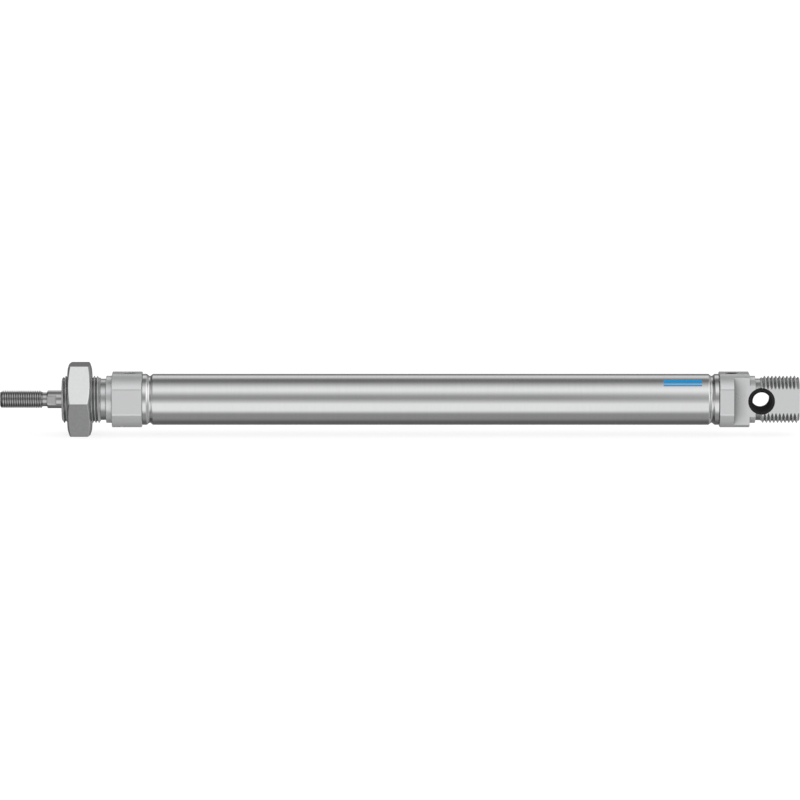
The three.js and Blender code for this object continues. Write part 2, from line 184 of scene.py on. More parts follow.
def thread_shape(crest):
    """One pitch of a thread from the middle of a crest: [share of the pitch, share of the depth].

    crest is half the width of the crest's flat, as a share of the pitch.
    """
    return [
        [0.00, 0.00],
        [crest, 0.00],
        [crest + 0.035, 0.05],
        [0.36, 0.92],
        [0.42, 1.00],
        [0.58, 1.00],
        [0.64, 0.92],
        [0.965 - crest, 0.05],
        [1 - crest, 0.00],
    ]


THREAD_STEPS = len(thread_shape(0))


def even_angles(count, extra=()):
    """Column angles about the axis, from +Y towards +Z, with extra ones at corners."""
    angles = [2 * math.pi * i / count for i in range(count)]
    for angle in extra:
        angle %= 2 * math.pi
        near = min(angles, key=lambda a: abs(a - angle))
        if abs(near - angle) < math.pi / count / 2:
            angles.remove(near)
        angles.append(angle)
    return np.array(sorted(angles))


def flatted(count, flat, turns, corner_radius):
    """Column angles and radii of a round bar with flats that face the turns, in degrees."""
    facings = [math.radians(turn) for turn in turns]
    half = math.acos(flat / corner_radius)
    corners = [facing + side for facing in facings for side in (-half, half)]
    angles = even_angles(count, corners)
    radii = np.full(len(angles), float(corner_radius))
    for facing in facings:
        share = np.maximum(np.cos(angles - facing), 1e-3)
        radii = np.minimum(radii, flat / share)
    return angles, radii


def hexagon(count, flat, dressing):
    """A hexagon with flats on top and below; dressing is what its rounded corners lose."""
    corner_radius = flat / math.cos(math.radians(30)) - dressing
    return flatted(count, flat, (30, 90, 150, 210, 270, 330), corner_radius)


def plain_rows(outline, angles):
    """Rows of a turned outline. A station or radius may be an array with a value per column."""
    columns = len(angles)
    return [
        (np.broadcast_to(at, columns), np.broadcast_to(radius, columns))
        for at, radius in outline
    ]


def thread_rows(start, end, radius, pitch, limit, angles, inside=False, crest=0.05):
    """Rows that follow a right-hand helix between two stations.

    limit is an outline that the thread stays within, so that it runs out at a chamfer or undercut.
    """
    limit_at, limit_radius = zip(*limit)
    depth = THREAD_DEPTH * pitch
    turns = math.ceil((end - start) / pitch) + 3
    rows = []
    for turn in range(turns):
        for share, drop in thread_shape(crest):
            at = start + pitch * (turn - 1 + share + angles / (2 * math.pi))
            at = np.clip(at, start, end)
            bound = np.interp(at, limit_at, limit_radius)
            if inside:
                radii = np.maximum(radius + depth * drop, bound)
            else:
                radii = np.minimum(radius - depth * drop, bound)
            rows.append((at, radii))
    return rows


def add_block(mesh, rows, angles, turn_rows=0):
    """Adds rows of points and the faces between them. Each turn of a thread has turn_rows rows."""
    columns = len(angles)
    verts = []
    for at, radius in rows:
        y = radius * np.cos(angles)
        z = radius * np.sin(angles)
        verts.append([mesh.verts.new(point) for point in zip(at, y, z)])
    for low in range(len(rows) - 1):
        for column in range(columns):
            following = (column + 1) % columns
            shift = turn_rows if following == 0 else 0
            if low + 1 + shift >= len(rows):
                continue
            corners = (
                verts[low][column],
                verts[low + 1][column],
                verts[low + 1 + shift][following],
                verts[low + shift][following],
            )
            mesh.faces.new(corners)


def turned(blocks, angles):
    """A closed turned mesh, in mm on the X axis, from outlines and threads in order.

    A block is a plain outline, or a dict with the arguments of thread_rows.
    """
    mesh = bmesh.new()
    for block in blocks:
        if isinstance(block, dict):
            rows = thread_rows(angles=angles, **block)
            add_block(mesh, rows, angles, turn_rows=THREAD_STEPS)
        else:
            add_block(mesh, plain_rows(block, angles), angles)
    bmesh.ops.remove_doubles(mesh, verts=mesh.verts, dist=WELD)
    bmesh.ops.dissolve_degenerate(mesh, edges=mesh.edges, dist=WELD)
    bmesh.ops.recalc_face_normals(mesh, faces=mesh.faces)
    return mesh


def to_object(name, mesh, transform=None):
    """Puts a mesh in mm into the scene, in metres. transform comes first, in mm."""
    if transform is not None:
        mesh.transform(transform)
    mesh.transform(Matrix.Scale(MM, 4))
    data = bpy.data.meshes.new(name)
    mesh.to_mesh(data)
    mesh.free()
    made = bpy.data.objects.new(name, data)
    bpy.context.scene.collection.objects.link(made)
    return made


def on_axis():
    """Carries a turned mesh from stations to the frame."""
    return Matrix.Translation((TIP / MM, 0, 0))


def upright(at, lift):
    """Stands a turned mesh on end at a station, with its station 0 at a height, in mm."""
    turn = Matrix.Rotation(-math.pi / 2, 4, "Y")
    return Matrix.Translation((TIP / MM + at, 0, lift)) @ turn


def across(at):
    """Lays a turned mesh across the axis at a station, along Y."""
    turn = Matrix.Rotation(math.pi / 2, 4, "Z")
    return Matrix.Translation((TIP / MM + at, 0, 0)) @ turn


def cut(target, *cutters, operation="DIFFERENCE"):
    """Cuts other objects out of one, or keeps what they share, then deletes them."""
    for cutter in cutters:
        modifier = target.modifiers.new("cut", "BOOLEAN")
        modifier.operation = operation
        modifier.solver = "MANIFOLD"
        modifier.object = cutter
        bpy.context.view_layer.update()
        graph = bpy.context.evaluated_depsgraph_get()
        result = bpy.data.meshes.new_from_object(target.evaluated_get(graph))
        target.modifiers.clear()
        target.data = result
        bpy.data.objects.remove(cutter)
    return target


def finish_mesh(piece):
    """Smooth shading, kept sharp where two faces meet at a real edge."""
    mesh = bmesh.new()
    mesh.from_mesh(piece.data)
    for face in mesh.faces:
        face.smooth = True
    for edge in mesh.edges:
        edge.smooth = len(edge.link_faces) == 2 and edge.calc_face_angle() < SHARP_ANGLE
    mesh.to_mesh(piece.data)
    mesh.free()


def place(piece, node, body, material):
    """Makes a finished piece stand for a CAD node."""
    finish_mesh(piece)
    piece.data.materials.clear()
    piece.data.materials.append(material)
    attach(piece, body)
    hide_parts(node)


# ---------------------------------------------------------------- sections

WIDE_COLUMNS = 120
ROD_COLUMNS = 88
SMALL_COLUMNS = 72

ROUND = even_angles(WIDE_COLUMNS)
SMALL_ROUND = even_angles(SMALL_COLUMNS)
CAP_ANGLES, CAP_SECTION = flatted(WIDE_COLUMNS, CAP_HALF, (0, 90, 180, 270), CAP_BAR_RADIUS)
NUT_ANGLES, NUT_SECTION = hexagon(WIDE_COLUMNS, NUT_FLAT, 0.03)
ROD_ANGLES, ROD_SECTION = flatted(ROD_COLUMNS, WRENCH_FLAT, (0, 180), ROD_RADIUS)


def spigot(end, direction):
    """A cap's spigot inside the barrel, from its end towards the cap's body."""
    outline = [
        [0, SPIGOT_RADIUS - 0.45],
        [0.4, SPIGOT_RADIUS],
        [1.5, SPIGOT_RADIUS],
        [1.5, BARREL_SEAL_GROOVE],
        [3.3, BARREL_SEAL_GROOVE],
        [3.3, SPIGOT_RADIUS],
        [4.7, SPIGOT_RADIUS],
        [5.45, ROLL_SEAT],
        [6.05, ROLL_SEAT],
        [6.8, SPIGOT_RADIUS],
    ]
    return [[end + direction * depth, radius] for depth, radius in outline]


def cap_body(start, end):
    """The round bar with four flats, its end edges broken."""
    edge = 0.2
    return [
        [start, CAP_SECTION - edge],
        [start + edge, CAP_SECTION],
        [end - edge, CAP_SECTION],
        [end, CAP_SECTION - edge],
    ]


def port_tap(at):
    """The cutter for a cap's M5 port: thread, countersink and clear air above."""
    overlap = 1  # how far it reaches into the cap's bore
    sink = 0.5
    top = CAP_HALF - CAP_BORE + overlap
    thread_end = top - 0.1
    major = PORT_THREAD_RADIUS
    minor = major - THREAD_DEPTH * PORT_PITCH
    thread = {
        "start": 0,
        "end": thread_end,
        "radius": major,
        "pitch": PORT_PITCH,
        "limit": [[0, minor], [0.3, major], [top - sink, major], [thread_end, minor]],
    }
    bottom = [[0, 0], [0, minor]]
    mouth = [
        [thread_end, minor],
        [thread_end, major - 0.05],
        [top + sink, major + sink],
        [top + sink, 0],
    ]
    mesh = turned([bottom, thread, mouth], SMALL_ROUND)
    return to_object("port_tap", mesh, upright(at, CAP_BORE - overlap))


# ---------------------------------------------------------------- caps, barrel, nut and rod


def front_cap():
    """The front cap: threaded nose, undercut, collar, body, spigot and the seats inside."""
    mouth = [
        [NOSE_FACE, WIPER_SEAT],
        [NOSE_FACE, NOSE_FACE_RADIUS],
    ]
    thread = {
        "start": NOSE_FACE,
        "end": FRONT_THREAD_END,
        "radius": NOSE_RADIUS,
        "pitch": FRONT_NOSE_PITCH,
        "limit": [
            [NOSE_FACE, NOSE_FACE_RADIUS],
            [NOSE_FACE + NOSE_CHAMFER_LENGTH, NOSE_RADIUS],
            [FRONT_THREAD_END - 0.45, NOSE_RADIUS],
            [FRONT_THREAD_END - 0.05, FRONT_UNDERCUT_RADIUS],
            [FRONT_COLLAR, FRONT_UNDERCUT_RADIUS],
        ],
    }
    edge = 0.15
    collar = [
        [FRONT_THREAD_END, FRONT_UNDERCUT_RADIUS],
        [FRONT_COLLAR - edge, FRONT_UNDERCUT_RADIUS],
        [FRONT_COLLAR, FRONT_UNDERCUT_RADIUS + edge],
        [FRONT_COLLAR, NOSE_RADIUS - edge],
        [FRONT_COLLAR + edge, NOSE_RADIUS],
        [FRONT_FACE, NOSE_RADIUS],
    ]
    body = cap_body(FRONT_FACE, FRONT_BODY_END)
    rear = [[FRONT_BODY_END, SPIGOT_RADIUS]] + spigot(FRONT_SPIGOT_END, -1)[::-1]
    bearing_start = NOSE_FACE + 9.5
    seal_end = NOSE_FACE + 8.5
    seal_start = NOSE_FACE + 4.5
    wiper_end = NOSE_FACE + 3.5
    inside = [
        [FRONT_SPIGOT_END, BUMPER_SEAT],
        [FRONT_SPIGOT_END - BUMPER_SEAT_LENGTH, BUMPER_SEAT],
        [FRONT_SPIGOT_END - BUMPER_SEAT_LENGTH, CAP_BORE],
        [bearing_start, CAP_BORE],
        [bearing_start, ROD_HOLE],
        [seal_end, ROD_HOLE],
        [seal_end, ROD_SEAL_SEAT],
        [seal_start, ROD_SEAL_SEAT],
        [seal_start, ROD_HOLE],
        [wiper_end, ROD_HOLE],
        [wiper_end, WIPER_SEAT],
        [NOSE_FACE, WIPER_SEAT],
    ]
    blocks = [mouth, thread, collar + body + rear + inside]
    piece = to_object("front_cap_body", turned(blocks, CAP_ANGLES), on_axis())
    return cut(piece, port_tap(FRONT_FACE + PORT_INSET))


def rear_nose(inset=0):
    """The rear collar with its undercut, and the thread's limit behind it, both shrunk by inset."""
    radius = NOSE_RADIUS - inset
    undercut = REAR_UNDERCUT_RADIUS - inset
    edge = 0.15
    collar = [
        [REAR_FACE, radius],
        [REAR_COLLAR - edge, radius],
        [REAR_COLLAR, radius - edge],
        [REAR_COLLAR, undercut],
        [REAR_THREAD_START, undercut],
    ]
    limit = [
        [REAR_THREAD_START, undercut],
        [REAR_THREAD_START + 0.8, radius],
        [REAR_END - 0.7, radius],
        [REAR_END, EYE_END_RADIUS - inset],
    ]
    return collar, limit


def eye_mill(side):
    """What the mill takes from one side of the eye; side is 1 or -1 in Y."""
    fillet = 0.12
    steps = 3
    wall = REAR_FACE - EYE_WALL_INSET
    clear = REAR_END + 2
    outer = 2 * CAP_HALF
    outline = [[wall, outer]]
    for step in range(steps + 1):
        angle = math.pi + step / steps * math.pi / 2
        x = wall + fillet + fillet * math.cos(angle)
        y = EYE_FLAT + fillet + fillet * math.sin(angle)
        outline.append([x, y])
    outline += [[clear, EYE_FLAT], [clear, outer]]
    mesh = bmesh.new()
    bottom = [mesh.verts.new((x, side * y, -outer)) for x, y in outline]
    top = [mesh.verts.new((x, side * y, outer)) for x, y in outline]
    mesh.faces.new(bottom)
    mesh.faces.new(top)
    for i in range(len(outline)):
        j = (i + 1) % len(outline)
        mesh.faces.new((bottom[i], bottom[j], top[j], top[i]))
    bmesh.ops.recalc_face_normals(mesh, faces=mesh.faces)
    return to_object("eye_mill", mesh, on_axis())


def eye_hole():
    """The cutter for the bush's hole, with a small gap round the bush."""
    radius = BUSH_RADIUS + 0.03
    reach = 2 * EYE_FLAT
    outline = [[-reach, 0], [-reach, radius], [reach, radius], [reach, 0]]
    return to_object("eye_hole", turned([outline], SMALL_ROUND), across(EYE))


def rear_cap():
    """The rear cap: spigot, blind bore, body, collar and the threaded nose milled to an eye."""
    bore_end = REAR_FACE - 3.5
    inside = [
        [bore_end, 0],
        [bore_end, CAP_BORE],
        [REAR_SPIGOT_END + BUMPER_SEAT_LENGTH, CAP_BORE],
        [REAR_SPIGOT_END + BUMPER_SEAT_LENGTH, BUMPER_SEAT],
        [REAR_SPIGOT_END, BUMPER_SEAT],
    ]
    front = spigot(REAR_SPIGOT_END, 1) + [[REAR_BODY_START, SPIGOT_RADIUS]]
    body = cap_body(REAR_BODY_START, REAR_FACE)
    collar, limit = rear_nose()
    thread = {
        "start": REAR_THREAD_START,
        "end": REAR_END,
        "radius": NOSE_RADIUS,
        "pitch": REAR_NOSE_PITCH,
        "limit": limit,
    }
    end = [[REAR_END, EYE_END_RADIUS], [REAR_END, 0]]
    blocks = [inside + front + body + collar, thread, end]
    piece = to_object("rear_cap_body", turned(blocks, CAP_ANGLES), on_axis())
    return cut(piece, eye_mill(1), eye_mill(-1), eye_hole(), port_tap(REAR_FACE - PORT_INSET))


def eye_bush():
    """A thin-walled bush, flush with the eye's flats and trimmed by the undercut."""
    edge = 0.12
    sink = 0.6
    reach = EYE_FLAT - 0.02
    outline = [
        [-reach, BUSH_RADIUS - edge],
        [-reach + edge, BUSH_RADIUS],
        [reach - edge, BUSH_RADIUS],
        [reach, BUSH_RADIUS - edge],
        [reach, EYE_BUSH_BORE + sink],
        [reach - sink, EYE_BUSH_BORE],
        [-reach + sink, EYE_BUSH_BORE],
        [-reach, EYE_BUSH_BORE + sink],
        [-reach, BUSH_RADIUS - edge],
    ]
    piece = to_object("eye_bush_ring", turned([outline], SMALL_ROUND), across(EYE))
    front = REAR_FACE - 3
    collar, limit = rear_nose(0.04)
    outside = [[front, 0], [front, NOSE_RADIUS]] + collar + limit + [[REAR_END, 0]]
    envelope = to_object("envelope", turned([outside], ROUND), on_axis())
    return cut(piece, envelope, operation="INTERSECT")


def rolled_groove(middle, radius, depth, half_width):
    """A rolled groove with a round bottom and soft shoulders, as points across it."""
    steps = 16
    points = []
    for step in range(steps + 1):
        share = 2 * step / steps - 1
        dip = 0.5 + 0.5 * math.cos(math.pi * share)
        points.append([middle + half_width * share, radius - depth * dip])
    return points


def barrel():
    """The tube, rolled into both caps."""
    edge = 0.15
    outside = []
    inside = []
    for at in (BARREL_START + ROLL_INSET, BARREL_END - ROLL_INSET):
        outside += rolled_groove(at, BARREL_RADIUS, *ROLL_OUTSIDE)
        inside += rolled_groove(at, BORE_RADIUS, *ROLL_INSIDE)
    outline = [
        [BARREL_START, BARREL_RADIUS - edge],
        [BARREL_START + edge, BARREL_RADIUS],
        *outside,
        [BARREL_END - edge, BARREL_RADIUS],
        [BARREL_END, BARREL_RADIUS - edge],
        [BARREL_END, BORE_RADIUS],
        *inside[::-1],
        [BARREL_START, BORE_RADIUS],
        [BARREL_START, BARREL_RADIUS - edge],
    ]
    return to_object("barrel_tube", turned([outline], ROUND), on_axis())


def mounting_nut():
    """The hexagon nut: chamfered faces, broken edges and an inside thread."""
    face = NUT_FLAT - 1.2
    slope = math.tan(math.radians(18))
    drop = (NUT_SECTION - face) * slope
    edge = 0.14
    hole = NOSE_RADIUS + 0.1
    mouth = hole + THREAD_DEPTH * FRONT_NOSE_PITCH + 0.1
    sink = mouth - hole
    outside = [
        [NUT_START, mouth],
        [NUT_START, face],
        [NUT_START + drop - edge * slope, NUT_SECTION - edge],
        [NUT_START + drop + edge, NUT_SECTION],
        [NUT_END - drop - edge, NUT_SECTION],
        [NUT_END - drop + edge * slope, NUT_SECTION - edge],
        [NUT_END, face],
        [NUT_END, mouth],
    ]
    thread = {
        "start": NUT_START,
        "end": NUT_END,
        "radius": hole,
        "pitch": FRONT_NOSE_PITCH,
        "inside": True,
        "limit": [
            [NUT_START, mouth],
            [NUT_START + sink, hole],
            [NUT_END - sink, hole],
            [NUT_END, mouth],
        ],
    }
    return to_object("hex_nut", turned([outside, thread], NUT_ANGLES), on_axis())


def piston_rod():
    """The rod: thread, relief, wrench flats, plain shaft and the stud that holds the piston."""
    shoulder = ROD_THREAD_LENGTH
    thread_end = shoulder - ROD_RELIEF_LENGTH
    tip = [[0, 0], [0, ROD_RELIEF]]
    thread = {
        "start": 0,
        "end": thread_end,
        "radius": ROD_RADIUS,
        "pitch": ROD_PITCH,
        "crest": 0.13,
        "limit": [
            [0, ROD_RELIEF],
            [ROD_RADIUS - ROD_RELIEF, ROD_RADIUS],
            [thread_end - 0.5, ROD_RADIUS],
            [thread_end, ROD_RELIEF],
        ],
    }
    flat_end = shoulder + WRENCH_FLAT_LENGTH
    edge = 0.2
    rest = [
        [thread_end, ROD_RELIEF],
        [shoulder - 0.15, ROD_RELIEF],
        [shoulder, ROD_RELIEF + 0.15],
        [shoulder, np.minimum(ROD_SECTION, ROD_RADIUS - edge)],
        [shoulder + edge, ROD_SECTION],
        [flat_end, ROD_SECTION],
        [flat_end, ROD_RADIUS],
        [PISTON_FRONT, ROD_RADIUS],
        [PISTON_FRONT, STUD_RADIUS],
        [STUD_END - 0.4, STUD_RADIUS],
        [STUD_END, STUD_RADIUS - 0.4],
        [STUD_END, 0],
    ]
    return to_object("rod", turned([tip, thread, rest], ROD_ANGLES), on_axis())


# ---------------------------------------------------------------- rings, seals and piston


def small_part(name, outline):
    """A small turned piece on the axis, from one closed outline."""
    return to_object(name, turned([outline], SMALL_ROUND), on_axis())


def ring(name, node, edge):
    """A plain ring with broken edges, as long and wide as its CAD node."""
    start = station(node, 0)
    end = station(node, 1)
    outer = radius_of(node)
    inner = INNER_RADII[node]
    outline = [
        [start, outer - edge],
        [start + edge, outer],
        [end - edge, outer],
        [end, outer - edge],
        [end, inner + edge],
        [end - edge, inner],
        [start + edge, inner],
        [start, inner + edge],
        [start, outer - edge],
    ]
    return small_part(name, outline)


def o_ring(name, node):
    """A squeezed O-ring, as long and wide as its CAD node."""
    start = station(node, 0)
    end = station(node, 1)
    outer = radius_of(node)
    half_width = (end - start) / 2
    half_height = (outer - INNER_RADII[node]) / 2
    steps = 20
    outline = []
    for step in range(steps + 1):
        angle = -2 * math.pi * step / steps
        at = (start + end) / 2 + half_width * math.cos(angle)
        outline.append([at, outer - half_height + half_height * math.sin(angle)])
    return small_part(name, outline)


def lip_seal(name, node, opening):
    """A grooved lip seal; opening is the end, 0 or 1, that its lips point to."""
    lips = station(node, opening)
    back = station(node, 1 - opening)
    toward = math.copysign(1, back - lips)
    outer = radius_of(node)
    inner = INNER_RADII[node]
    middle = (outer + inner) / 2
    lip = (outer - inner) / 4
    outline = [
        [lips, outer - 0.04],
        [lips + 0.15 * toward, outer],
        [lips + 0.5 * toward, outer],
        [lips + 1.2 * toward, outer - 0.12],
        [back - 0.2 * toward, outer - 0.06],
        [back, outer - 0.25],
        [back, inner + 0.25],
        [back - 0.2 * toward, inner + 0.06],
        [lips + 1.2 * toward, inner + 0.12],
        [lips + 0.5 * toward, inner],
        [lips + 0.15 * toward, inner],
        [lips, inner + 0.04],
        [lips + 0.12 * toward, inner + lip],
        [lips + 0.9 * toward, middle - lip / 2],
        [lips + 1.1 * toward, middle],
        [lips + 0.9 * toward, middle + lip / 2],
        [lips + 0.12 * toward, outer - lip],
        [lips, outer - 0.04],
    ]
    return small_part(name, outline)


def rod_wiper():
    """A wiper ring seated in the nose, with a thin lip that leans out along the rod."""
    front = station("rod_wiper", 0)
    back = station("rod_wiper", 1)
    outer = radius_of("rod_wiper")
    inner = INNER_RADII["rod_wiper"]
    outline = [
        [front, inner + 0.12],
        [front + 0.03, inner + 0.28],
        [front + 0.5, inner + 0.62],
        [front + 0.9, inner + 0.95],
        [front + 0.85, outer - 0.25],
        [front + 1.0, outer],
        [back - 0.15, outer],
        [back, outer - 0.15],
        [back, inner + 0.5],
        [front + 1.6, inner + 0.4],
        [front + 0.5, inner],
        [front + 0.15, inner],
        [front, inner + 0.12],
    ]
    return small_part("wiper", outline)


def piston_disc(name, node, inner_face):
    """Half of the piston, from its outer end inwards. inner_face is the outline of its inside."""
    front = node == "piston_front_disc"
    end = PISTON_FRONT if front else PISTON_REAR
    inward = 1 if front else -1
    radius = radius_of(node)
    outline = [
        [0, radius - 0.4],
        [0.4, radius],
        [1.5, radius],
        [1.5, PISTON_SEAL_GROOVE],
        [4.3, PISTON_SEAL_GROOVE],
        [4.3, radius],
        [DISC_LENGTH - 0.2, radius],
        [DISC_LENGTH, radius - 0.2],
        *inner_face,
        [0, STUD_HOLE],
        [0, radius - 0.4],
    ]
    return small_part(name, [[end + inward * depth, r] for depth, r in outline])


def front_disc():
    """The front half, with the groove of the stud's O-ring."""
    inner_face = [
        [DISC_LENGTH, STUD_HOLE],
        [3.9, STUD_HOLE],
        [3.9, STUD_SEAL_GROOVE],
        [2.3, STUD_SEAL_GROOVE],
        [2.3, STUD_HOLE],
    ]
    return piston_disc("piston_front", "piston_front_disc", inner_face)


def rear_disc():
    """The rear half, whose hub reaches through the magnet, almost to the front half."""
    hub_end = PISTON_REAR - PISTON_FRONT - DISC_LENGTH - 0.05
    inner_face = [
        [DISC_LENGTH, MAGNET_HUB],
        [hub_end, MAGNET_HUB],
        [hub_end, STUD_HOLE],
    ]
    return piston_disc("piston_rear", "piston_rear_disc", inner_face)


def guide_ring():
    """The wear band round the magnet, split on top."""
    band = ring("guide_band", "guide_ring", 0.12)
    low, high = (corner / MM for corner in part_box("guide_ring"))
    size = (high.x - low.x + 2, 0.5, 3)
    middle = ((low.x + high.x) / 2, 0, high.z - 0.5)
    mesh = bmesh.new()
    bmesh.ops.create_cube(mesh, size=1)
    mesh.transform(Matrix.Translation(middle) @ Matrix.Diagonal((*size, 1)))
    return cut(band, to_object("slit", mesh))


def lock_nut():
    """The small nut behind the piston."""
    start = station("piston_lock_nut", 0)
    end = station("piston_lock_nut", 1)
    flat = radius_of("piston_lock_nut")
    angles, section = hexagon(SMALL_COLUMNS, flat, 0.02)
    face = flat - 0.15
    drop = (section - face) * math.tan(math.radians(30))
    outline = [
        [start, STUD_HOLE],
        [start, face],
        [start + drop, section],
        [end - drop, section],
        [end, face],
        [end, STUD_HOLE],
        [start, STUD_HOLE],
    ]
    return to_object("piston_nut", turned([outline], angles), on_axis())


# ---------------------------------------------------------------- node trees


def grey(light):
    return (light, light, light)


def shade(color, factor):
    return tuple(channel * factor for channel in color)


class Graph:
    """A node tree under construction. A value is a number, a colour or another node's output."""

    def __init__(self, tree):
        self.tree = tree

    def node(self, kind):
        return self.tree.nodes.new(kind)

    def feed(self, socket, value):
        """Sets a socket to a value."""
        if hasattr(value, "is_output"):
            self.tree.links.new(value, socket)
        elif socket.type == "RGBA":
            socket.default_value = (*value, 1)
        else:
            socket.default_value = value

    def math(self, operation, *values):
        made = self.node("ShaderNodeMath")
        made.operation = operation
        for socket, value in zip(made.inputs, values):
            self.feed(socket, value)
        return made.outputs[0]

    def split(self, vector):
        """The X, Y and Z of a vector."""
        made = self.node("ShaderNodeSeparateXYZ")
        self.feed(made.inputs[0], vector)
        return tuple(made.outputs)

    def spread(self, value, low, high, start=0.3, end=0.7, kind="LINEAR"):
        """Maps a value between start and end to a range of values; most noise is in 0.3 to 0.7."""
        made = self.node("ShaderNodeMapRange")
        made.interpolation_type = kind
        made.inputs["From Min"].default_value = start
        made.inputs["From Max"].default_value = end
        made.inputs["To Min"].default_value = low
        made.inputs["To Max"].default_value = high
        self.feed(made.inputs["Value"], value)
        return made.outputs["Result"]

    def blend(self, factor, first, second):
        """A colour between two colours."""
        made = self.node("ShaderNodeMix")
        made.data_type = "RGBA"
        self.feed(made.inputs["Factor"], factor)
        ends = [socket for socket in made.inputs if socket.type == "RGBA"]
        for socket, value in zip(ends, (first, second)):
            self.feed(socket, value)
        return [socket for socket in made.outputs if socket.type == "RGBA"][0]


class Look(Graph):
    """A Principled material under construction, with helpers for procedural detail."""

    def __init__(self, name, color, roughness, metallic=0.0, specular=0.5):
        self.material = bpy.data.materials.new(name)
        self.material.use_nodes = True
        super().__init__(self.material.node_tree)
        self.shader = self.tree.nodes["Principled BSDF"]
        self.place = self.node("ShaderNodeTexCoord").outputs["Object"]
        self.set("Base Color", color)
        self.set("Roughness", roughness)
        self.set("Metallic", metallic)
        self.set("Specular IOR Level", specular)

    def set(self, name, value):
        """Sets one of the shader's own sockets."""
        self.feed(self.shader.inputs[name], value)

    def noise(self, scale, detail, stretch=(1, 1, 1)):
        """A noise in the piece's own metres; stretch multiplies its fineness along X, Y and Z."""
        mapping = self.node("ShaderNodeMapping")
        mapping.inputs["Scale"].default_value = stretch
        self.feed(mapping.inputs["Vector"], self.place)
        made = self.node("ShaderNodeTexNoise")
        made.inputs["Scale"].default_value = scale
        made.inputs["Detail"].default_value = detail
        made.inputs["Roughness"].default_value = 0.55
        self.feed(made.inputs["Vector"], mapping.outputs["Vector"])
        return made.outputs["Fac"]

    def vary_color(self, factor, first, second, reach=0.0, depth=1.5):
        """Base colour between two colours, darkened by painted shade in the piece's own hollows.

        reach is how far the painted shade reaches from a hollow, in metres or as a socket; depth is
        how strongly it darkens.
        """
        color = self.blend(factor, first, second)
        if reach:
            # Painted shade: an ambient occlusion node darkens the colour towards near-black in the
            # piece's own hollows.
            shade_occlusion = self.node("ShaderNodeAmbientOcclusion")
            shade_occlusion.only_local = True
            shade_occlusion.samples = 12
            self.feed(shade_occlusion.inputs["Distance"], reach)
            unshaded = self.math("POWER", shade_occlusion.outputs["AO"], depth)
            color = self.blend(unshaded, grey(0.002), color)
        self.set("Base Color", color)

    def vary_roughness(self, factor, low, high):
        self.set("Roughness", self.spread(factor, low, high))

    def along_x(self, value, *changes):
        """A number that takes a new value past each [station, value]."""
        x, _, _ = self.split(self.place)
        total = value
        for at, new_value in changes:
            middle = TIP + at * MM
            step = self.spread(x, 0, new_value - value, middle - 0.1 * MM, middle + 0.1 * MM)
            total = self.math("ADD", step, total)
            value = new_value
        return total

    def bump(self, *layers):
        """Adds bump layers, each a noise with its height in metres."""
        normal = None
        for height, distance in layers:
            made = self.node("ShaderNodeBump")
            made.inputs["Strength"].default_value = 1.0
            made.inputs["Distance"].default_value = distance
            self.feed(made.inputs["Height"], height)
            if normal is not None:
                self.feed(made.inputs["Normal"], normal)
            normal = made.outputs["Normal"]
        self.set("Normal", normal)


# ---------------------------------------------------------------- materials

# Two plain blue bars printed on the upper front of the barrel, near its rear end, in mm.
BARS_MIDDLE = BARREL_END - 12.4
BARS_LENGTH = 13
BARS = [[6.65, 1.0], [5.5, 0.5]]  # height above the axis, width
BARS_COLOR = (0.0, 0.25, 0.56)

# How far the painted shade in the caps' hollows reaches, in metres.
THREAD_SHADE_REACH = 0.9 * MM
PLAIN_SHADE_REACH = 0.3 * MM
EYE_STEP_SHADE_REACH = 5 * MM

ANODISED_METALLIC = 0.66


def print_bars(look):
    """Prints the bars on a look that is all metal and whose colour is already linked."""
    x, y, z = look.split(look.place)
    inside = look.math("COMPARE", x, TIP + BARS_MIDDLE * MM, BARS_LENGTH / 2 * MM)
    inside = look.math("MULTIPLY", inside, look.math("LESS_THAN", y, 0))
    bars = [look.math("COMPARE", z, height * MM, width / 2 * MM) for height, width in BARS]
    ink = look.math("MULTIPLY", inside, look.math("ADD", *bars))
    metal = look.shader.inputs["Base Color"].links[0].from_socket
    look.set("Base Color", look.blend(ink, metal, BARS_COLOR))
    look.set("Metallic", look.math("SUBTRACT", 1, ink))


def ground_tube():
    """Stainless tube, finely ground round and round."""
    color = (0.74, 0.745, 0.745)
    look = Look("ground_stainless", color, 0.17, 1.0)
    rings = look.noise(900, 3, stretch=(6, 0.12, 0.12))
    fine_rings = look.noise(2600, 2, stretch=(6, 0.06, 0.06))
    cloud = look.noise(45, 3)
    look.vary_color(look.spread(rings, 0, 1), shade(color, 0.97), shade(color, 1.02))
    look.vary_roughness(cloud, 0.13, 0.17)
    look.bump((rings, 1.2 * MICRON), (fine_rings, 0.8 * MICRON))
    print_bars(look)
    return look.material


def anodised(name, undercut, first_shade_reach, *shade_reaches):
    """Finely blasted, clear anodised aluminium, fully metallic between the undercut's stations,
    with painted shade in its hollows.

    The reach of the painted shade in the hollows starts with the first and takes a new value past
    each [station, reach].
    """
    color = (0.65, 0.655, 0.66)
    look = Look(name, color, 0.25, ANODISED_METALLIC)
    reach = look.along_x(first_shade_reach, *shade_reaches)
    start, end = undercut
    metallic = look.along_x(ANODISED_METALLIC, [start, 1.0], [end, ANODISED_METALLIC])
    look.set("Metallic", metallic)
    grain = look.noise(9000, 3)
    cloud = look.noise(160, 4)
    dark = shade(color, 0.95)
    light = shade(color, 1.03)
    # Painted shade: the colour darkens towards near-black in the cap's hollows, as far as the reach
    # at each station.
    look.vary_color(look.spread(grain, 0, 1), dark, light, reach, depth=2)
    look.vary_roughness(cloud, 0.23, 0.28)
    look.bump((grain, 1.6 * MICRON))
    return look.material


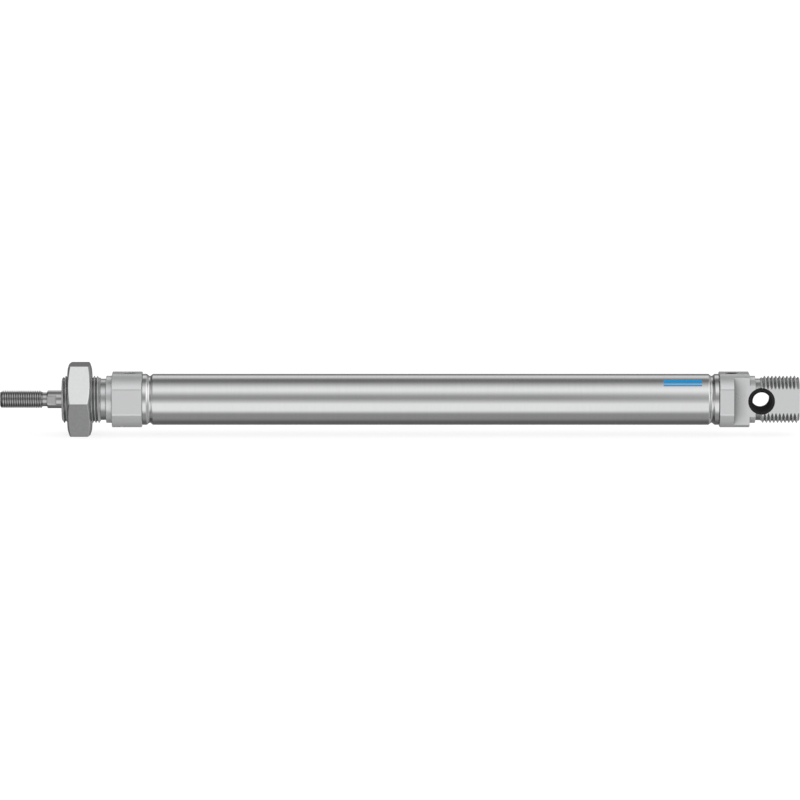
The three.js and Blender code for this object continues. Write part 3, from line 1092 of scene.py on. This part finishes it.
def front_aluminium():
    """The front cap's aluminium: painted shade that reaches far in the thread's grooves, and only a
    little behind the thread.
    """
    return anodised(
        "anodised_aluminium",
        [FRONT_THREAD_END, FRONT_COLLAR - 0.05],
        THREAD_SHADE_REACH,
        [FRONT_THREAD_END, PLAIN_SHADE_REACH],
    )


def rear_aluminium():
    """The rear cap's aluminium: painted shade that reaches far on the body with its milled eye step
    and along the thread, and only a little between them.
    """
    return anodised(
        "anodised_aluminium_eye",
        [REAR_COLLAR + 0.05, REAR_THREAD_START],
        EYE_STEP_SHADE_REACH,
        [REAR_FACE - 0.1, PLAIN_SHADE_REACH],
        [REAR_THREAD_START, THREAD_SHADE_REACH],
    )


def polished_rod():
    """Ground and polished rod steel, with the faintest grinding rings and painted shade in the
    thread's grooves.
    """
    color = (0.5, 0.5, 0.505)
    look = Look("rod_steel", color, 0.14, 1.0)
    rings = look.noise(1500, 2, stretch=(5, 0.1, 0.1))
    cloud = look.noise(200, 3)
    dark = shade(color, 0.96)
    light = shade(color, 1.03)
    # Painted shade: the colour darkens in the rod's hollows, such as the thread's grooves, up to
    # 0.8 mm from their walls.
    look.vary_color(look.spread(rings, 0, 1), dark, light, 0.8 * MM, depth=0.7)
    look.vary_roughness(cloud, 0.12, 0.17)
    look.bump((rings, 0.8 * MICRON))
    return look.material


def plated_nut():
    """Bright zinc over drawn steel, with faint mottling, fine draw lines along the flats and
    painted shade in the inside thread.
    """
    color = (0.73, 0.735, 0.74)
    look = Look("zinc_plated_steel", color, 0.16, 1.0)
    mottle = look.noise(900, 4)
    lines = look.noise(2500, 2, stretch=(0.15, 3, 3))
    # Painted shade: the colour darkens in the nut's hollows, such as its inside thread, up to 0.8
    # mm from their walls.
    look.vary_color(look.spread(mottle, 0, 1), shade(color, 0.97), shade(color, 1.02), 0.8 * MM)
    look.vary_roughness(mottle, 0.14, 0.18)
    look.bump((mottle, 0.6 * MICRON), (lines, 0.6 * MICRON))
    return look.material


def turned_aluminium():
    """Aluminium straight from the lathe."""
    color = (0.76, 0.765, 0.77)
    look = Look("turned_aluminium", color, 0.3, 1.0)
    rings = look.noise(800, 2, stretch=(5, 0.2, 0.2))
    look.vary_color(look.spread(rings, 0, 1), shade(color, 0.93), shade(color, 1.03))
    look.vary_roughness(rings, 0.26, 0.36)
    look.bump((rings, 6 * MICRON))
    return look.material


def sintered_bronze():
    """Porous bearing bronze, darkened by its oil."""
    color = (0.5, 0.33, 0.16)
    look = Look("sintered_bronze", color, 0.5, 0.85)
    pores = look.noise(5200, 4)
    look.vary_color(look.spread(pores, 0, 1), shade(color, 0.45), shade(color, 1.15))
    look.vary_roughness(pores, 0.42, 0.62)
    look.bump((pores, 20 * MICRON))
    return look.material


def moulded(name, color, roughness, grain_height, specular=0.5, reach=0.0):
    """A moulded plastic or rubber with a fine matt grain and slight flow marks, and painted shade
    in its hollows when reach is given.
    """
    look = Look(name, color, roughness, specular=specular)
    grain = look.noise(7000, 3)
    flow = look.noise(260, 4)
    # Painted shade in the piece's hollows, only when reach is given.
    look.vary_color(look.spread(flow, 0, 1), shade(color, 0.8), shade(color, 1.25), reach)
    look.vary_roughness(grain, roughness - 0.07, roughness + 0.08)
    look.bump((grain, grain_height), (flow, grain_height * 2))
    return look.material


# ---------------------------------------------------------------- assembly


def build():
    """Makes every piece and puts it in its CAD node's place, on its body."""
    steel = ("stainless_tube", ground_tube())
    front_cap_finish = ("anodised_aluminium", front_aluminium())
    rear_cap_finish = ("anodised_aluminium", rear_aluminium())
    rod_steel = ("rod_steel", polished_rod())
    zinc = ("plated_nut_steel", plated_nut())
    aluminium = ("piston_aluminium", turned_aluminium())
    bronze = ("sintered_bronze", sintered_bronze())
    black = (0.02, 0.02, 0.021)
    # The black plastic gets painted shade reaching 9 mm, which darkens the bush's bore.
    black_plastic = moulded("black_plastic", black, 0.5, MICRON, specular=0.02, reach=9 * MM)
    plastic = ("black_plastic", black_plastic)
    rubber = ("nitrile_rubber", moulded("nitrile_rubber", grey(0.022), 0.6, 6 * MICRON))
    urethane = ("polyurethane", moulded("polyurethane", (0.06, 0.13, 0.1), 0.4, 2 * MICRON))
    ferrite = (0.07, 0.07, 0.075)
    magnet = ("magnet_compound", moulded("magnet_compound", ferrite, 0.55, 8 * MICRON))

    bodies = {
        "housing": [
            (barrel(), "barrel", steel),
            (front_cap(), "front_cap", front_cap_finish),
            (rear_cap(), "rear_cap", rear_cap_finish),
            (eye_bush(), "eye_bush", plastic),
            (rod_wiper(), "rod_wiper", rubber),
            (lip_seal("rod_lip_seal", "rod_seal", 1), "rod_seal", urethane),
            (ring("bearing_bush", "rod_bearing_bush", 0.3), "rod_bearing_bush", bronze),
            (ring("front_cushion", "front_bumper", 0.25), "front_bumper", urethane),
            (o_ring("front_tube_o_ring", "front_barrel_seal"), "front_barrel_seal", rubber),
            (ring("rear_cushion", "rear_bumper", 0.25), "rear_bumper", urethane),
            (o_ring("rear_tube_o_ring", "rear_barrel_seal"), "rear_barrel_seal", rubber),
        ],
        "clamp_nut": [
            (mounting_nut(), "mounting_nut", zinc),
        ],
        "seal_set": [
            (guide_ring(), "guide_ring", plastic),
            (lip_seal("front_lip_seal", "front_piston_seal", 0), "front_piston_seal", urethane),
            (lip_seal("rear_lip_seal", "rear_piston_seal", 1), "rear_piston_seal", urethane),
        ],
        "rod_set": [
            (piston_rod(), "piston_rod", rod_steel),
            (front_disc(), "piston_front_disc", aluminium),
            (rear_disc(), "piston_rear_disc", aluminium),
            (ring("magnet", "magnet_ring", 0.2), "magnet_ring", magnet),
            (o_ring("stud_o_ring", "piston_o_ring"), "piston_o_ring", rubber),
            (lock_nut(), "piston_lock_nut", zinc),
        ],
    }
    for body, pieces in bodies.items():
        for piece, node, (slot, material) in pieces:
            place(piece, node, body, material)


# ---------------------------------------------------------------- camera, floor and light

CAMERA_DISTANCE = 2.5
CAMERA_ELEVATION = math.radians(6.85)
CAMERA_TARGET = Vector((0.0001, 0, -0.00023))
FRAME_WIDTH = (cad_bounds[1][0] - cad_bounds[0][0]) * 1.0016

# Brightness of the studio round the rod axis: [angle from the front, upwards, in degrees; light].
STUDIO = [
    [-180, 0.16],
    [-158, 0.20],
    [-130, 0.13],
    [-110, 0.17],
    [-92, 0.30],
    [-70, 0.32],
    [-60, 0.42],
    [-47, 0.92],
    [-21, 1.12],
    [-8, 0.78],
    [5, 0.44],
    [15, 0.36],
    [28, 0.54],
    [42, 0.92],
    [54, 0.98],
    [70, 0.70],
    [88, 0.31],
    [102, 0.19],
    [112, 0.30],
    [126, 0.76],
    [135, 0.80],
    [150, 0.33],
    [180, 0.16],
]
# Brightness beyond the rod's end and the eye's end of the axis: behind the object, then in front.
FAR_LEFT = (0.06, 0.32)  # in front, only above the axis
FAR_RIGHT = (0.4, 1.25)
FAR_RIGHT_LOW = 0.5  # in front, below the axis
DAYLIGHT = 1.12  # even light that matt surfaces and the floor receive
FLOOR_GLOW = 0.78
FLOOR_HALF = 12  # metres


def camera():
    """A long lens square to the object's side and a little above it."""
    data = bpy.data.cameras.new("camera")
    data.sensor_width = 36
    data.lens = data.sensor_width * CAMERA_DISTANCE / FRAME_WIDTH
    data.clip_start = 0.1
    data.clip_end = 50
    made = bpy.data.objects.new("camera", data)
    bpy.context.scene.collection.objects.link(made)
    back = Vector((0, -math.cos(CAMERA_ELEVATION), math.sin(CAMERA_ELEVATION)))
    made.location = CAMERA_TARGET + CAMERA_DISTANCE * back
    made.rotation_euler = back.to_track_quat("Z", "Y").to_euler()
    bpy.context.scene.camera = made


def floor():
    """A wide pale floor that the nut's lower flat touches."""
    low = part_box("mounting_nut")[0].z / MM
    half = FLOOR_HALF / MM
    mesh = bmesh.new()
    corners = [(-half, -half), (half, -half), (half, half), (-half, half)]
    mesh.faces.new([mesh.verts.new((x, y, low)) for x, y in corners])
    made = to_object("floor", mesh)
    look = Look("floor_paint", grey(0.25), 0.9)
    look.vary_color(look.noise(3, 3), grey(0.24), grey(0.26))
    look.vary_roughness(look.noise(40, 3), 0.85, 0.95)
    look.set("Emission Color", grey(1))
    look.set("Emission Strength", FLOOR_GLOW)
    made.data.materials.append(look.material)
    made.visible_glossy = False


def studio():
    """Soft light from all round, and a ring of broad soft boxes that only reflections show."""
    world = bpy.data.worlds.new("studio")
    bpy.context.scene.world = world
    bpy.context.scene.view_settings.view_transform = "Standard"
    world.use_nodes = True
    world.cycles.sampling_method = "NONE"
    world.node_tree.nodes.clear()
    graph = Graph(world.node_tree)

    x, y, z = graph.split(graph.node("ShaderNodeTexCoord").outputs["Generated"])
    toward = graph.math("MULTIPLY", y, -1)
    angle = graph.math("ARCTAN2", z, toward)
    ramp = graph.node("ShaderNodeValToRGB")
    ramp.color_ramp.interpolation = "CARDINAL"
    elements = ramp.color_ramp.elements
    elements.remove(elements[0])
    for index, (degrees, light) in enumerate(STUDIO):
        position = degrees / 360 + 0.5
        element = elements[0] if index == 0 else elements.new(position)
        element.position = position
        element.color = (*grey(light), 1)
    graph.feed(ramp.inputs[0], graph.math("MULTIPLY_ADD", angle, 0.5 / math.pi, 0.5))
    ring_light = ramp.outputs["Color"]

    def ease(value, start, end):
        return graph.spread(value, 0, 1, start, end, "SMOOTHSTEP")

    # How far a direction counts as in front, above, left or right, from its unit vector.
    in_front = ease(toward, -0.3, 0.1)
    above = ease(z, -0.45, 0.35)
    left = ease(graph.math("MULTIPLY", x, -1), 0.2, 0.65)
    left_front = graph.blend(above, ring_light, grey(FAR_LEFT[1]))
    left_light = graph.blend(in_front, grey(FAR_LEFT[0]), left_front)
    right = ease(x, 0.12, 0.55)
    right_front = graph.blend(above, grey(FAR_RIGHT_LOW), grey(FAR_RIGHT[1]))
    right_light = graph.blend(in_front, grey(FAR_RIGHT[0]), right_front)
    mirrored = graph.blend(left, ring_light, left_light)
    mirrored = graph.blend(right, mirrored, right_light)

    glossy = graph.node("ShaderNodeLightPath").outputs["Is Glossy Ray"]
    background = graph.node("ShaderNodeBackground")
    graph.feed(background.inputs["Color"], graph.blend(glossy, grey(DAYLIGHT), mirrored))
    output = graph.node("ShaderNodeOutputWorld")
    graph.feed(output.inputs["Surface"], background.outputs[0])


camera()
floor()
studio()
build()
